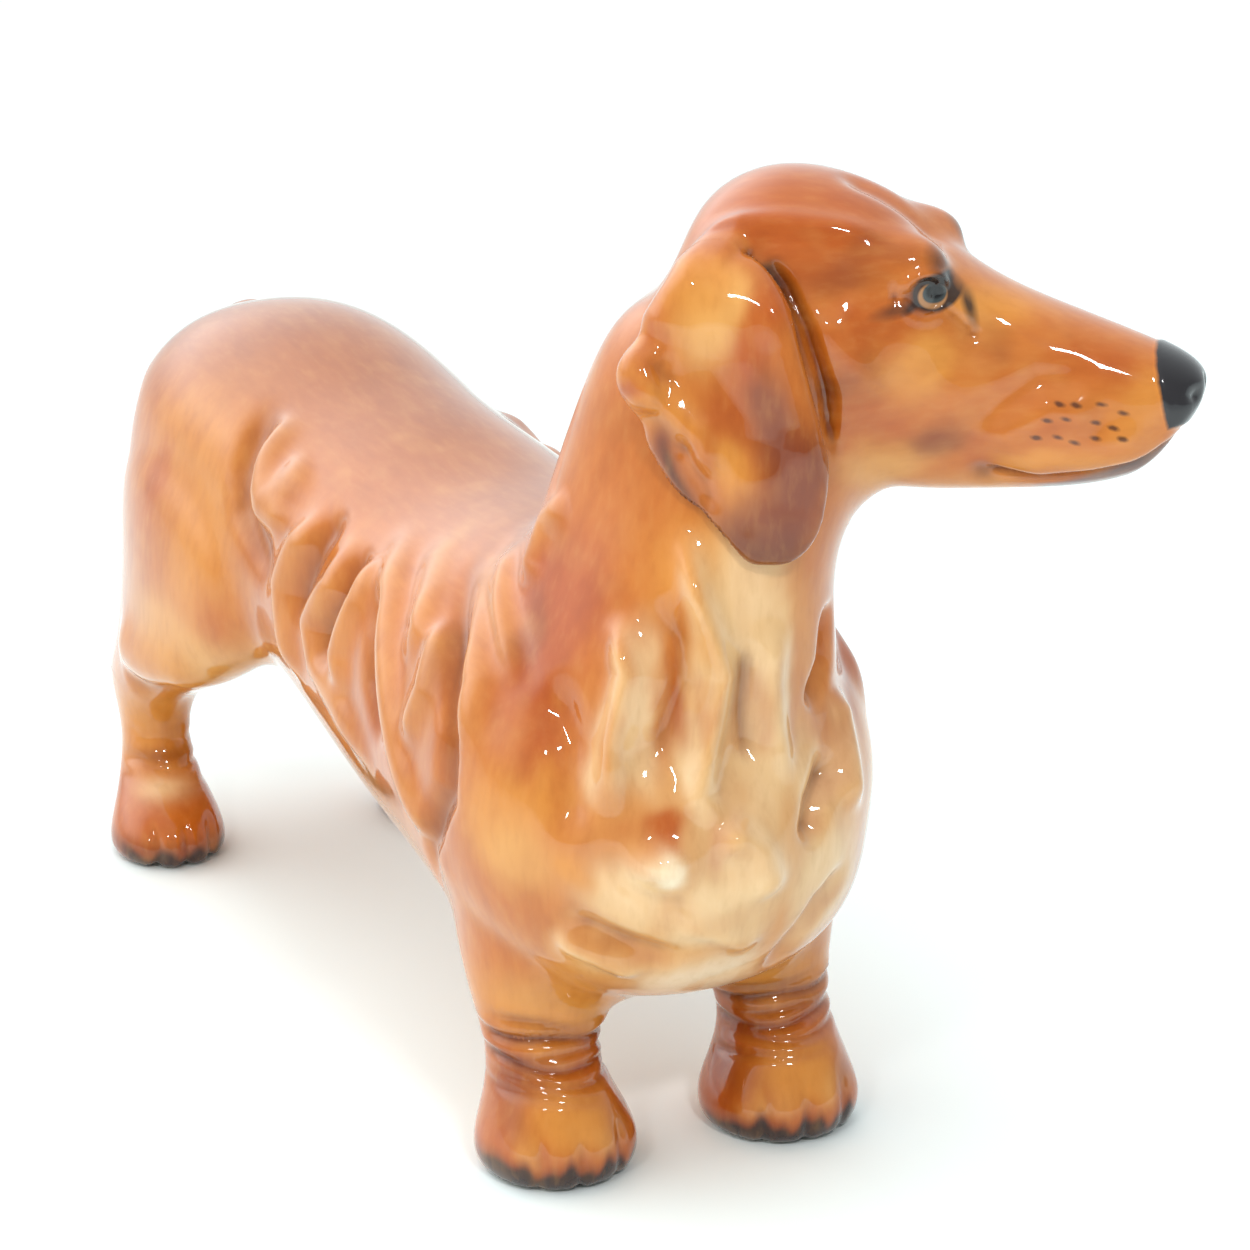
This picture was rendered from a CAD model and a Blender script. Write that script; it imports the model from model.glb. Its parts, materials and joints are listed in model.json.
import json
import math
import bpy
import numpy as np
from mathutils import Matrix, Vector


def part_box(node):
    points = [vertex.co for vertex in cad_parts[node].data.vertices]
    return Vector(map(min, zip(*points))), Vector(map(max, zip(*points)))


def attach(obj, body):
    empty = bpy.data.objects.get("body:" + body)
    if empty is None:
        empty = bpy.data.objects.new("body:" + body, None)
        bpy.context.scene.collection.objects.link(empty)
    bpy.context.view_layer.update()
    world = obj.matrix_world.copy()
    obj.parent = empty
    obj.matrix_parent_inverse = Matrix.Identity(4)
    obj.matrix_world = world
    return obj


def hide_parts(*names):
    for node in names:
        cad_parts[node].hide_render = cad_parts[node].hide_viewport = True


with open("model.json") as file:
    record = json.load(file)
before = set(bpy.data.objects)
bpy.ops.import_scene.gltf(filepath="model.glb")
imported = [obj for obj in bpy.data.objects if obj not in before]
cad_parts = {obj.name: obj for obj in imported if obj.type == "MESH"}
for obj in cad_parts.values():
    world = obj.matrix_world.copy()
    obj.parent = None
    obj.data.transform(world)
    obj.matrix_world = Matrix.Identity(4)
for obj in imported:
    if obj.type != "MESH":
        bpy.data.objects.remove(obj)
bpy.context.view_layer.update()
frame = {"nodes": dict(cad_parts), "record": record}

import openvdb as vdb
from mathutils import Matrix, Vector

# All shapes below are worked out in millimetres, in the figurine's own axes: +X the way the body faces, +Y
# its left and +Z up. SHIFT takes them into the frame; it comes from where the record says the right fore
# sole is.
SOLE_FORE_RIGHT = np.array([47.5, -12.8, 0.0])
mount = {m["name"]: m for m in frame["record"]["mounts"]}["sole_fore_right"]
SHIFT = np.array(mount["pos_m"]) * 1000 - SOLE_FORE_RIGHT

HEAD_CENTRE = np.array([47.0, 8.0, 90.0])
YAW, PITCH = math.radians(53), math.radians(6)
FORWARD = np.array([math.cos(YAW) * math.cos(PITCH), math.sin(YAW) * math.cos(PITCH), math.sin(PITCH)])
LEFT = np.array([-math.sin(YAW), math.cos(YAW), 0.0])
UP = np.cross(FORWARD, LEFT)

# Where the castings meet: the neck's joint, its lean forwards and to the left in degrees, and for the legs
# the joint's height, the end of the trunk and the middle line's y.
NECK_JOINT, NECK_LEAN = (46.8, 3.9, 71.0), (3, 11)
LEG_JOINTS = {"foreleg": (15.8, 1, 0.0), "hind_leg": (19.8, -1, -5.0)}
FORELEGS = ((-12.8, -1), (12.8, 1))     # y of each leg's middle, and its side
HIND_LEGS = ((-22.0, -1), (12.0, 1))
WRIST_X = 45.5

COARSE = 0.6      # mm between the points of the grid the castings are melted together on
OVERLAP = 0.5     # mm by which a piece's skin runs on past its joint
MARGIN = 2.0      # mm past its joint to which a piece is first shaped, before it is trimmed
LIP = 0.8         # mm by which the trimmed edge is turned inwards
BORDER = 3.5      # mm of room round a casting's box for its piece
CRUMB = 400       # quads; a smaller island of skin is dropped


# ---- fields on a grid

class Grid:
    """A box of evenly spaced points, in mm."""

    def __init__(self, low, high, step):
        self.low = np.array(low, float)
        self.step = step
        self.shape = tuple(int(n) for n in np.ceil((np.array(high) - self.low) / step))

    def axes(self):
        return [self.low[i] + self.step * np.arange(self.shape[i]) for i in range(3)]

    def coordinates(self):
        x, y, z = self.axes()
        return x[:, None, None], y[None, :, None], z[None, None, :]


def mesh_arrays(obj):
    """Vertices in mm, in the figurine's axes, and triangles."""
    mesh = obj.data
    points = np.empty(len(mesh.vertices) * 3, np.float32)
    mesh.vertices.foreach_get("co", points)
    mesh.calc_loop_triangles()
    corners = np.empty(len(mesh.loop_triangles) * 3, np.int32)
    mesh.loop_triangles.foreach_get("vertices", corners)
    return points.reshape(-1, 3) * 1000 - SHIFT, corners.reshape(-1, 3).astype(np.uint32)


def signed_distance(grid, points, band, triangles=None, quads=None):
    """Distance to a closed mesh in mm, negative inside, true to within band grid steps of it."""
    local = ((points - grid.low) / grid.step).astype(np.float32)
    faces = {"triangles": triangles} if quads is None else {"quads": quads}
    transform = vdb.createLinearTransform(voxelSize=1.0)
    level = vdb.FloatGrid.createLevelSetFromPolygons(local, transform=transform, halfWidth=band, **faces)
    values = np.empty(grid.shape, np.float32)
    level.copyToArray(values, ijk=(0, 0, 0))
    return values * grid.step


def surface(grid, field, level=0.0):
    """Vertices in mm and outward-facing quads of the field's level surface."""
    volume = vdb.FloatGrid(10.0)
    volume.copyFromArray(np.ascontiguousarray(field, np.float32), ijk=(0, 0, 0))
    points, quads = volume.convertToQuads(isovalue=level)
    points = points.astype(float)
    a, b, c = points[quads[:, 0]], points[quads[:, 1]], points[quads[:, 2]]
    if np.einsum("ij,ij->i", a, np.cross(b, c)).sum() < 0:
        quads = quads[:, ::-1]
    return points * grid.step + grid.low, np.ascontiguousarray(quads)


def blurred(field, radius, passes):
    """Box blur, radius in grid steps."""
    for _ in range(passes):
        for axis in range(3):
            edges = [(radius + 1, radius) if i == axis else (0, 0) for i in range(3)]
            padded = np.pad(field, edges, mode="edge")
            total = np.cumsum(padded, axis=axis, dtype=np.float64)
            n = field.shape[axis]
            ahead = np.take(total, np.arange(2 * radius + 1, 2 * radius + 1 + n), axis=axis)
            behind = np.take(total, np.arange(n), axis=axis)
            field = ((ahead - behind) / (2 * radius + 1)).astype(np.float32)
    return field


def grown(mask):
    """The mask and its six neighbours."""
    out = mask.copy()
    for axis in range(3):
        lo = [slice(None)] * 3
        hi = [slice(None)] * 3
        lo[axis], hi[axis] = slice(None, -1), slice(1, None)
        out[tuple(hi)] |= mask[tuple(lo)]
        out[tuple(lo)] |= mask[tuple(hi)]
    return out


def resampled(field, source, target):
    """The field read at another grid's points, linearly."""
    for axis in range(3):
        place = (target.axes()[axis] - source.low[axis]) / source.step
        place = np.clip(place, 0, field.shape[axis] - 1.001)
        low = place.astype(int)
        share = (place - low).astype(np.float32).reshape([-1 if i == axis else 1 for i in range(3)])
        field = np.take(field, low, axis=axis) * (1 - share) + np.take(field, low + 1, axis=axis) * share
    return field


def melt(a, b, reach):
    """Union of two fields with a soft join reach mm wide."""
    share = np.clip(0.5 + 0.5 * (b - a) / reach, 0, 1)
    return b * (1 - share) + a * share - reach * share * (1 - share)


def smoothstep(low, high, value):
    t = np.clip((value - low) / (high - low), 0, 1)
    return t * t * (3 - 2 * t)


def to_head(x, y, z):
    """Forwards, left and up of the head's centre."""
    dx, dy, dz = x - HEAD_CENTRE[0], y - HEAD_CENTRE[1], z - HEAD_CENTRE[2]
    return [dx * axis[0] + dy * axis[1] + dz * axis[2] for axis in (FORWARD, LEFT, UP)]


def either_side(p):
    """Forwards, out to either side and up of the head's centre."""
    s, off, u = to_head(*p.T)
    return np.stack([s, np.abs(off), u], 1)


def stroker(p, n):
    """A function that draws strokes alike on both sides of the head."""
    q = either_side(p)
    m = np.stack([n @ FORWARD, (n @ LEFT) * np.sign(to_head(*p.T)[1]), n @ UP], 1)

    def stroke(path, width, taper=0.25):
        return along(q, path, width, taper, m)

    return stroke


# ---- the castings melted together

nodes = frame["nodes"]
whole = Grid((-80, -34, -6), (82, 52, 110), COARSE)
ears = {side: [f"ear_{side}", f"ear_slip_{side}"] for side in ("right", "left")}
ear_nodes = [name for names in ears.values() for name in names]


def united(names, band=8):
    """Union of castings on the coarse grid."""
    field = None
    for name in names:
        points, triangles = mesh_arrays(nodes[name])
        part = signed_distance(whole, points, band, triangles=triangles)
        field = part if field is None else np.minimum(field, part)
    return field


def without_hollow(field):
    """Fills the hollow inside the castings, which only the vent opens."""
    core = field[::2, ::2, ::2] > 1.7
    outside = np.zeros_like(core)
    outside[0], outside[:, 0], outside[:, :, 0] = core[0], core[:, 0], core[:, :, 0]
    count = 0
    while outside.sum() != count:
        count = outside.sum()
        for _ in range(8):
            outside = grown(outside) & core
    hollow = (core & ~outside).repeat(2, 0).repeat(2, 1).repeat(2, 2)
    hollow = hollow[:field.shape[0], :field.shape[1], :field.shape[2]]
    hollow &= field > 0
    for _ in range(6):
        hollow = grown(hollow) & (field > 0)
    return np.where(hollow, np.float32(-5), field)


SEAL = 0.25       # mm by which the castings are thickened, and thinned again, to close the joints
body_names = [name for name in nodes if name not in ear_nodes]
filled = without_hollow(united(body_names))
points, quads = surface(whole, filled, SEAL)
solid = signed_distance(whole, points, 14, quads=quads) + SEAL
FILLET = 6        # grid steps of blur that fill the hollows between the castings
melted = np.minimum(solid, blurred(solid, FILLET, 3))
melted = blurred(melted, 1, 2)
tail_alone = united(["tail"], 8)
ear_fields = {side: blurred(united(names), 1, 2) for side, names in ears.items()}


# ---- strokes and blobs on the surface

def along(points, path, width, taper=0.25, normals=None):
    """1 on a path, falling off over width mm to each side and towards both ends.

    With normals, the distance is measured in the surface."""
    path = np.asarray(path, float)
    lengths = np.linalg.norm(np.diff(path, axis=0), axis=1)
    total = lengths.sum()
    best = np.full(len(points), 1e9)
    where = np.zeros(len(points))
    run = 0.0
    for start, end, length in zip(path[:-1], path[1:], lengths):
        t = np.clip(((points - start) @ (end - start)) / length ** 2, 0, 1)
        gap = points - start - t[:, None] * (end - start)
        if normals is not None:
            depth = np.clip(np.einsum("ij,ij->i", gap, normals), -5, 5)
            gap = gap - 0.92 * depth[:, None] * normals
        d = np.linalg.norm(gap, axis=1)
        closer = d < best
        best = np.where(closer, d, best)
        where = np.where(closer, (run + t * length) / total, where)
        run += length
    ends = smoothstep(0, taper, where) * smoothstep(0, taper, 1 - where) if taper else 1.0
    return np.exp(-(best / width) ** 2) * ends


def spot(points, centre, radius):
    """1 at the centre, falling off over radius mm."""
    return np.exp(-(((points - np.asarray(centre, float)) / radius) ** 2).sum(1))


# Skin folds of the right side: path, width and height in mm. Grooves have a negative height.
FLANK_FOLDS = [
    ([(-26, -12, 62.5), (-24, -17, 59), (-23.5, -19, 55), (-21.5, -20, 51.5), (-17, -20, 48),
      (-12, -20, 44)], 2.2, -1.8),
    ([(-22, -13, 62), (-20.5, -17.5, 58), (-18, -19.5, 53.5), (-14, -20, 50)], 2.2, 1.4),
    ([(-2, -17, 55), (-6, -19.5, 51), (-8, -20, 46.5), (-6.5, -20.5, 40), (-3, -20.5, 36)], 1.9, 1.5),
    ([(5, -16.5, 56.5), (5, -19.5, 50), (1.5, -20.5, 45), (4, -21, 41), (12, -21, 38.5),
      (21, -21.5, 35)], 1.8, 1.5),
    ([(13, -15.5, 56), (12.5, -19.5, 51), (10.5, -21, 44.5), (13, -21.5, 40)], 1.7, 1.4),
    ([(9.5, -12, 59.5), (15.5, -16, 56), (21, -19, 52.5), (25, -21, 48.5), (31.5, -22.5, 41),
      (37, -23, 36), (40, -22.5, 31)], 1.8, 1.6),
    ([(18, -6, 61.5), (22, -14, 58.5), (27, -17, 56), (29.5, -19, 53.5), (28.5, -20.5, 49)], 1.8, 1.4),
    ([(22.5, -5, 62), (30, -13.5, 59), (38.5, -19, 54), (43, -22, 47), (43.5, -22.5, 41), (38, -22.5, 33),
      (36, -21, 26)], 1.3, -1.6),
    ([(28, -8.5, 61.5), (38, -16.5, 57), (44, -19.5, 52.5), (47, -22, 44)], 2.0, 1.0),
    ([(30.5, -9.5, 61.5), (36, -12.5, 60), (45, -16, 55.5), (49, -17, 53)], 1.3, 0.9),
    ([(46, -10, 71), (42, -10.5, 67.5), (41.5, -12, 63.5), (43.5, -13, 61)], 1.5, 0.8),
    ([(0, -15, 57), (-1.5, -18.5, 52), (-3, -20, 47), (-2, -20.5, 42)], 1.5, -1.0),
    ([(8.5, -16.5, 56), (8.5, -19.5, 50), (6.5, -21, 45.5), (7.5, -21, 41)], 1.4, -1.0),
    ([(17, -17.5, 54), (19, -20.5, 49), (20, -21.5, 45), (25, -22, 39)], 1.6, -1.0),
    ([(33, -17, 56), (35.5, -21, 49), (33, -22.5, 42)], 1.6, 0.9),
    ([(-12, -15, 59), (-14, -18.5, 54.5), (-12, -19.5, 50)], 2.4, 1.0),
    ([(-30, -21, 27), (-36, -25, 27), (-44, -26, 26.5), (-52, -24, 27)], 2.6, 0.9),
    ([(-34, -23, 23.5), (-42, -24, 22.5), (-50, -24, 22.5)], 1.6, -0.7),
    ([(-56, -17, 57), (-60, -18, 50), (-59, -20, 42), (-56, -22, 34)], 2.6, -0.9),
]
CHEST_FOLDS = [
    ([(58.5, -4, 72), (60.5, -3, 65), (62.5, -1.5, 57), (62.5, -3, 50), (64, -4.5, 45),
      (66, -1.5, 41)], 1.4, 1.9),
    ([(65.5, -3, 43), (67, 0.5, 39.5), (66.5, 2.5, 34)], 1.8, 1.1),
    ([(58.5, -6.5, 65), (60.5, -5, 60), (61.5, -5, 56), (61, -7, 51), (62, -8.5, 46.5)], 1.5, -1.2),
    ([(56.5, -10, 63), (59, -9.5, 57), (59.5, -11.5, 50), (61, -12.5, 43)], 1.5, 1.9),
    ([(52, -15.5, 56), (56.5, -15, 50), (59, -15.5, 40)], 1.9, -0.9),
    ([(57, 12, 61), (59, 12, 55), (61, 9, 50.5)], 1.5, -1.7),
    ([(60.5, 4, 62), (62.5, 3.5, 55), (63.5, 4.5, 49), (65, 5, 44)], 1.8, 1.1),
    ([(61, 1.5, 60), (63, 1, 53), (64.5, 1.5, 47)], 1.3, -0.9),
    ([(61, 12.5, 46.5), (64, 8.5, 42.5), (66, 6.5, 38)], 1.5, -1.6),
    ([(57, 15.5, 52), (60, 14.5, 46), (61.5, 12.5, 39)], 2.2, 1.2),
    ([(58, -17, 33), (61, -14, 31), (63, -10, 29), (64, -5, 27)], 1.5, -1.0),
    ([(57, -17.5, 30), (60.5, -14, 27.5), (62, -9, 25)], 1.5, 0.8),
    ([(63, 14.5, 34), (64, 9.5, 31), (62.5, 7, 27.5), (59.5, 5, 22.5)], 1.5, -0.9),
    ([(66, -8, 33), (67, -3, 30.5), (66, 2, 27)], 1.7, 0.8),
]


def mirrored(folds, drop):
    """The folds below the back on the left side, shifted a little so that the two sides differ."""
    def across(x, y, z):
        return x + drop, -y - 3.5 * smoothstep(20, -20, x), z - 0.4 * drop

    return [([across(*point) for point in path], width, height) for path, width, height in folds
            if path[0][2] < 64]


def flank_and_chest(p, n):
    d = np.zeros(len(p))
    for path, width, height in FLANK_FOLDS + mirrored(FLANK_FOLDS, 2.5):
        d += 1.35 * height * along(p, path, 1.15 * width, 0.25, n)
    # crossing folds don't pile up, and they fade out on top of the back
    d = 2.0 * np.tanh(d / 2.0) * smoothstep(0.92, 0.55, n[:, 2])
    for path, width, height in CHEST_FOLDS:
        d += 1.2 * height * along(p, path, width, 0.25, n)
    d += 2.0 * spot(p, (65, -8.5, 39), (3, 2.7, 2.1)) + 0.9 * spot(p, (66.5, -2.5, 41), (2, 1.4, 1.4))
    d -= 0.6 * along(p, [(61.5, -13.5, 40.5), (63, -12, 37), (64.5, -9, 35), (66, -5, 35)], 1.3, 0.2, n)
    return d


# Wrist wrinkles of a foreleg: height at the leg's front, slope, first and last angle from the front, depth.
WRINKLES = [
    (16.4, 0.9, -70, 20, -0.28),
    (14.9, 0.5, -95, 75, -0.45),
    (13.3, 0.2, -60, 95, -0.30),
    (12.1, 0.7, -100, 60, -0.50),
    (10.7, 0.4, -75, 100, -0.32),
    (9.2, 0.9, -90, 10, -0.25),
]
TOES = (-4.6, -0.4, 3.9)


def wrinkle(p, x0, y0, level, slope, first, last, width=0.55):
    """1 along a slanting line part of the way round a leg."""
    angle = np.arctan2(p[:, 1] - y0, p[:, 0] - x0)
    line = level + slope * np.sin(angle) + 0.25 * np.sin(3 * angle + level)
    window = smoothstep(math.radians(first) - 0.5, math.radians(first) + 0.4, angle)
    window *= smoothstep(math.radians(last) + 0.5, math.radians(last) - 0.4, angle)
    return np.exp(-((p[:, 2] - line) / width) ** 2) * window


def leg_details(p):
    """Wrinkles at the wrists and hocks, and toes."""
    d = np.zeros(len(p))
    for y, side in FORELEGS:
        near = (np.abs(p[:, 1] - y) < 11) & (p[:, 0] > 20) & (p[:, 2] < 26)
        for level, slope, first, last, height in WRINKLES:
            d += near * height * wrinkle(p, WRIST_X, y, level + 0.4 * (side > 0), slope * side, first, last)
            d -= near * 0.55 * height * wrinkle(p, WRIST_X, y, level + 0.9, slope * side, first, last)
        for toe in TOES:
            line = y + toe + 0.10 * (p[:, 0] - 54) * np.sign(toe)
            groove = np.exp(-((p[:, 1] - line) / 0.55) ** 2)
            d -= near * 0.32 * groove * smoothstep(51.5, 54.5, p[:, 0]) * smoothstep(7.5, 4.0, p[:, 2])
        for toe in (-6.6, -2.5, 1.8, 6.0):
            knuckle = np.exp(-((p[:, 1] - y - toe) / 1.9) ** 2 - ((p[:, 2] - 4.2) / 2.4) ** 2)
            d += near * 0.3 * knuckle * smoothstep(50, 53, p[:, 0])
        d += near * 0.7 * spot(p, (52.5, y, 8.6), (2.2, 4.5, 2.0))
    for y, side in HIND_LEGS:
        near = (np.abs(p[:, 1] - y) < 9) & (p[:, 0] < -35) & (p[:, 2] < 26)
        for level, height in ((13.5, -0.12), (10.4, -0.2), (8.6, -0.1)):
            d += near * height * wrinkle(p, -51.5, y, level, 0.5 * side, -100, 100)
            d -= near * 0.5 * height * wrinkle(p, -51.5, y, level + 1.0, 0.5 * side, -100, 100)
        for toe in (-3.4, 0.0, 3.4):
            groove = np.exp(-((p[:, 1] - y - toe) / 0.6) ** 2)
            d -= near * 0.55 * groove * smoothstep(-45, -42, p[:, 0]) * smoothstep(6.5, 3.5, p[:, 2])
    return d


def head_details(p, n):
    q, stroke = either_side(p), stroker(p, n)
    s, _, u = q.T
    d = np.zeros(len(p))
    d -= 2.0 * spot(q, (-9, 0, 6), (5.5, 9, 5.5))
    d += 0.9 * spot(q, (9, 11.5, -5), (5.5, 4, 5))
    d -= 0.9 * spot(q, (25, 7.5, -4), (4, 3, 3.2))
    d -= 0.8 * stroke([(10, 0, 12), (17, 0, 8.5), (22, 0, 3.6)], 1.8)
    d += 0.8 * stroke([(-2, 9, 10), (6, 9, 10), (12, 8, 8.5), (17, 6.5, 6)], 1.5)
    d -= 0.5 * spot(q, (6, 10.5, 4), (6, 4, 2.5))
    ring = np.linalg.norm((q - EYE) / (1.0, 1.0, 0.85), axis=1)
    d -= 0.45 * np.exp(-((ring - 2.0) / 0.5) ** 2)
    d += 0.5 * np.exp(-((ring - 2.7) / 0.7) ** 2) * smoothstep(-0.4, 1.2, u - EYE[2])
    d += 0.2 * np.exp(-((ring - 2.8) / 0.6) ** 2) * smoothstep(0.5, -1.0, u - EYE[2])
    d -= 0.45 * stroke([(22, 8.6, 1.0), (24, 8.0, -1.5), (25, 7.8, -4)], 0.8)
    d -= 0.4 * stroke([(18.6, 9.3, 1.6), (16.5, 9.8, 1.6)], 0.7)
    d += 0.8 * stroke([(24, 7, -15.5), (27.5, 7, -12.5), (31, 6.5, -11), (36, 5.5, -12)], 2.3)
    d += 0.8 * stroke([(25.5, 6.8, -17), (31, 6.4, -16), (37, 5.6, -15.5), (41, 4.2, -14.8)], 2.2)
    d -= 0.6 * stroke([(22.5, 8, -14), (25.5, 7.5, -10.5), (30, 7, -8), (36, 6, -8.5)], 1.8)
    d -= 1.0 * stroke(MOUTH, 0.65, 0.08)
    d -= 0.6 * spot(q, MOUTH[0], (1.3, 2.5, 1.2))
    d -= 0.7 * spot(q, (44.0, 2.6, -11.2), (1.4, 1.0, 0.8))
    d -= 0.35 * stroke([(45.5, 0, -9.5), (44.8, 0, -14)], 0.5)
    d += 0.25 * smoothstep(-0.3, 0.4, nose_depth(s, u))
    d -= 1.1 * stroke(EAR_GROOVE, 0.8)
    d += 0.6 * stroke([(10.5, 12, 2), (12.5, 12, -3), (14, 11.5, -9)], 2.0)
    return d


def nose_depth(s, u):
    """How far inside the nose pad's edge, in mm."""
    return np.minimum(s - NOSE_START + 0.14 * (u + 9), u - NOSE_FLOOR)


NOSE_START, NOSE_FLOOR = 40.9, -14.0
EYE = np.array([20.4, 8.9, 1.2])
MOUTH = [
    (23.6, 6.9, -17.2), (25.5, 6.6, -18.0), (29, 6.0, -18.7), (34, 5.2, -18.5), (38, 4.4, -17.7),
    (40.8, 3.4, -16.5), (42.6, 1.6, -15.3), (43.2, 0.2, -14.9),
]
EAR_GROOVE = [
    (4.8, 11, 7.5), (7.0, 12, 4), (8.8, 12.5, -0.5), (10, 12.8, -6), (10.8, 12.5, -12), (11, 12, -15),
]


def ear_details(p, n):
    stroke = stroker(p, n)
    d = -0.5 * stroke([(-5.2, 17, -0.6), (-4.2, 17.5, -3.5), (-5.2, 17, -6.4)], 0.9)
    d += 1.2 * stroke([(-8, 16, -4), (-5, 17, -5.5), (-2, 17.5, -9), (-1, 18, -14)], 1.6)
    d -= 0.8 * stroke([(-4.5, 17, -9), (-3, 17.5, -11), (-2, 17.5, -14), (-1.5, 17.5, -17.5)], 1.2)
    d += 0.9 * stroke([(4, 13.5, 6), (7.8, 15.5, -1), (9, 16.5, -9), (7.5, 17.5, -17)], 2.0)
    d += 0.8 * stroke([(0, 13, 7), (-4, 15, 4.5), (-5.5, 16, 0)], 2.4)
    d -= 0.8 * stroke([(0.5, 15.5, 2), (0, 16.5, -3), (3, 17, -8), (4, 17.5, -14)], 2.2)
    d += 0.35 * stroke([(-3, 17, -17), (0, 17.5, -20.5), (4, 17.5, -21)], 1.8)
    return d


# ---- pieces

def vertex_normals(points, quads):
    a, b, c, d = (points[quads[:, k]] for k in range(4))
    face = np.cross(c - a, d - b)
    total = np.zeros_like(points)
    for i in range(3):
        total[:, i] = sum(np.bincount(quads[:, k], face[:, i], len(points)) for k in range(4))
    return total / np.maximum(np.linalg.norm(total, axis=1, keepdims=True), 1e-12)


def edge_pairs(quads):
    pairs = np.concatenate([quads[:, [k, (k + 1) % 4]] for k in range(4)])
    return np.unique(np.sort(pairs, axis=1), axis=0)


def neighbour_mean(values, pairs):
    count = np.bincount(pairs.ravel(), minlength=len(values))
    total = np.zeros_like(values)
    for i, column in enumerate(values.T):
        for here, there in (pairs.T, pairs.T[::-1]):
            total[:, i] += np.bincount(here, column[there], len(values))
    return total / np.maximum(count, 1)[:, None]


def relaxed(points, pairs, rounds):
    """Evens out the grid's steps without shrinking the shape."""
    for _ in range(rounds):
        for amount in (0.5, -0.52):
            points = points + amount * (neighbour_mean(points, pairs) - points)
    return points


def inside_regions(grid):
    """How far outside each casting's own stretch a point lies, in mm, negative inside it."""
    x, y, z = grid.coordinates()
    tail = np.maximum(resampled(tail_alone, whole, grid) - 2.2, (z - 50.5) + (x + 68) * 0.6)
    neck_axis = np.array([math.tan(math.radians(lean)) for lean in NECK_LEAN] + [1])
    neck_axis /= np.linalg.norm(neck_axis)
    over_neck = -sum((v - at) * part for v, at, part in zip((x, y, z), NECK_JOINT, neck_axis))
    regions = {"tail": tail, "head": over_neck}
    for name, (level, x_sign, middle) in LEG_JOINTS.items():
        for side, y_sign in (("right", -1), ("left", 1)):
            box = np.maximum(np.maximum(z - level, -x_sign * x), -y_sign * (y - middle))
            regions[f"{name}_{side}"] = np.maximum(box, -tail)
    return regions


def skin(grid):
    """Fields of the whole figurine, of it without its ears, and of its ears alone."""
    main = blurred(resampled(melted, whole, grid), 1, 2)
    x, y, z = grid.coordinates()
    s, off, u = to_head(x, y, z)
    # the muzzle's front slopes back below the tip of the nose
    slope = np.where((z > 66) & (s > 30), 0.77 * (s - 46.2) - 0.64 * (u + 10.5), -9)
    main = -melt(-main, -slope, 1.6)
    flap = None
    for sign, side in ((-1, "right"), (1, "left")):
        brow = ellipsoid(s, off, u, (17.4, 5.8 * sign, 3.9), (3.9, 2.7, 2.7))
        main = melt(main, brow, 2.5)
        ear = blurred(resampled(ear_fields[side], whole, grid), 1, 2)
        knob = ellipsoid(s, off, u, (-7.0, 15.6 * sign, -3.6), (2.5, 2.1, 3.0))
        notch = np.minimum(ellipsoid(s, off, u, (-11.0, 15.0 * sign, -8.8), (3.0, 6.0, 2.2)),
                           ellipsoid(s, off, u, (-9.6, 14.0 * sign, 1.6), (2.2, 6.0, 2.4)))
        ear = melt(-melt(-ear, notch, 1.2), knob, 1.2)
        flap = ear if flap is None else np.minimum(flap, ear)
    front = smoothstep(0.0, 3.5, s)
    root = smoothstep(1.0 + 5.0 * front, 7.0 + 3.0 * front, u)
    joined = melt(main, flap, 0.3 + 4.0 * root)
    vent = np.sqrt((x - VENT[0]) ** 2 + (y - VENT[1]) ** 2) - VENT_RADIUS
    return np.maximum(joined, -np.maximum(vent, z - 30)), main, flap


def past_joints(name, grid, main, flap):
    """How far outside a piece's own stretch of the skin a point lies, in mm, negative inside it."""
    x, y, z = grid.coordinates()
    ear = (flap - main) / 2
    if name.startswith("ear"):
        off = to_head(x, y, z)[1]
        return np.maximum(ear, off if name.endswith("right") else -off)
    regions = inside_regions(grid)
    if name == "body":
        return np.maximum.reduce([-r for r in regions.values()] + [-ear])
    return np.maximum(regions[name], -ear)


VENT = (-8.0, -2.0)
VENT_RADIUS = 1.6


def ellipsoid(x, y, z, centre, radii):
    squares = [((v - c) / r) ** 2 for v, c, r in zip((x, y, z), centre, radii)]
    return (np.sqrt(squares[0] + squares[1] + squares[2]) - 1) * min(radii)


def relief(p, n, ear_share):
    """Height in mm of the modelled detail at each point."""
    on_skin = flank_and_chest(p, n) + leg_details(p) + head_details(p, n)
    return on_skin * (1 - ear_share) + ear_details(p, n) * ear_share


def srgb(r, g, b):
    return np.array([((v / 255 + 0.055) / 1.055) ** 2.4 for v in (r, g, b)])


TAN = srgb(190, 106, 38)
HONEY = srgb(212, 138, 56)
LIGHT_HONEY = srgb(218, 158, 86)
RUST = srgb(174, 78, 14)
CHESTNUT = srgb(122, 52, 16)
DARK = srgb(44, 22, 16)
SAND = srgb(204, 156, 106)
CREAM = srgb(234, 200, 152)
PALE = srgb(246, 228, 196)
BISCUIT = srgb(236, 226, 206)
GREY = srgb(64, 60, 64)


def mix(colour, other, share):
    """Share 0 keeps the colour, 1 gives the other."""
    share = np.clip(share, 0, 1)[:, None]
    return colour * (1 - share) + other * share


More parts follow.
